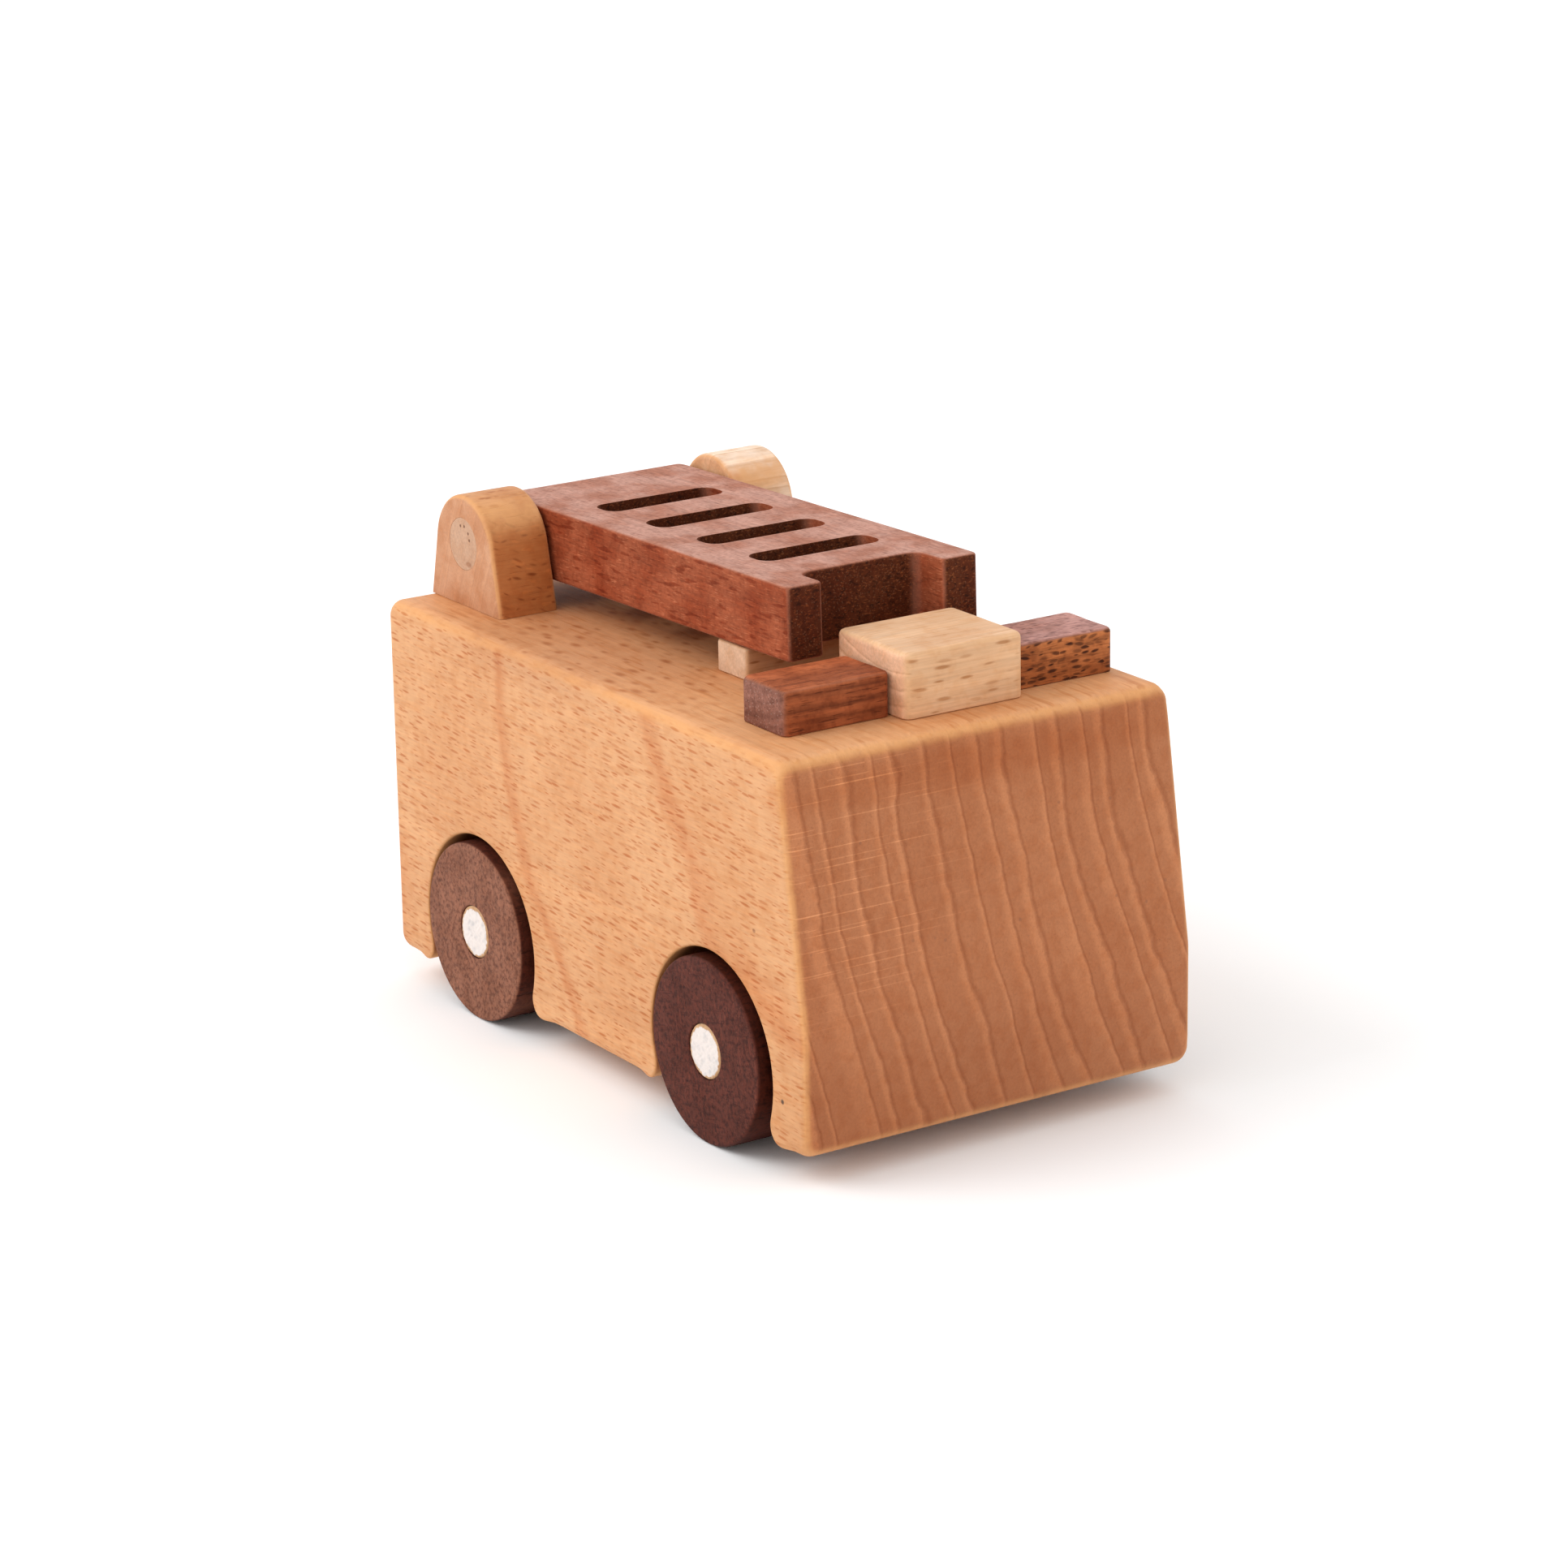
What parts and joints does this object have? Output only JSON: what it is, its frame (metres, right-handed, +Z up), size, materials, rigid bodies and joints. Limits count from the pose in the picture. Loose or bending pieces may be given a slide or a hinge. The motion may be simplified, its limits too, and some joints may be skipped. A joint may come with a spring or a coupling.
{
  "type": "toy fire engine",
  "caption": "Block-bodied wooden fire engine on rolling wheels, with a slotted ladder that tilts up between two pillars and a light bar on the roof.",
  "frame": {"origin": "on the floor, under the middle of the body block", "axes": "+X to the front of the vehicle, +Y to its left side, +Z up"},
  "size_m": [0.1136, 0.0684, 0.0769],
  "materials": {
    "beech": "sanded and oiled",
    "pink_beech": "sanded and oiled",
    "pale_beech": "sanded, no finish",
    "dowel_wood": "sanded, no finish",
    "axle_wood": "end grain, painted white",
    "ladder_wood": "sanded, oiled dark wood",
    "dark_block_wood": "sanded, oiled dark wood",
    "wheel_wood_rear": "smooth dark wood",
    "wheel_wood_front": "smooth dark wood"
  },
  "bodies": {
    "engine_body": {"body_block": "beech", "pillar_right": "pink_beech", "pillar_left": "pink_beech", "ladder_pivot_dowel": "dowel_wood", "ladder_rest": "pale_beech", "light_bar_centre": "pale_beech", "light_bar_right": "dark_block_wood", "light_bar_left": "dark_block_wood", "pillar_dowel_right": "dowel_wood", "pillar_dowel_left": "dowel_wood", "ladder_rest_dowel": "dowel_wood", "light_bar_dowel_centre": "dowel_wood", "light_bar_dowel_right": "dowel_wood", "light_bar_dowel_left": "dowel_wood"},
    "rear_wheelset": {"rear_axle": "axle_wood", "wheel_rear_right": "wheel_wood_rear", "wheel_rear_left": "wheel_wood_rear"},
    "front_wheelset": {"front_axle": "axle_wood", "wheel_front_right": "wheel_wood_front", "wheel_front_left": "wheel_wood_front"},
    "ladder": {"ladder": "ladder_wood"}
  },
  "joints": [
    {"name": "rear_axle_spin", "type": "hinge", "parent": "engine_body", "child": "rear_wheelset", "pos_m": [-0.0312, 0, 0.0137], "axis": [0, 1, 0], "continuous": true},
    {"name": "front_axle_spin", "type": "hinge", "parent": "engine_body", "child": "front_wheelset", "pos_m": [0.0328, 0, 0.0137], "axis": [0, 1, 0], "continuous": true},
    {"name": "ladder_tilt", "type": "hinge", "parent": "engine_body", "child": "ladder", "pos_m": [-0.0454, 0.0014, 0.0695], "axis": [0, -1, 0], "range_deg": [0, 197]}
  ]
}
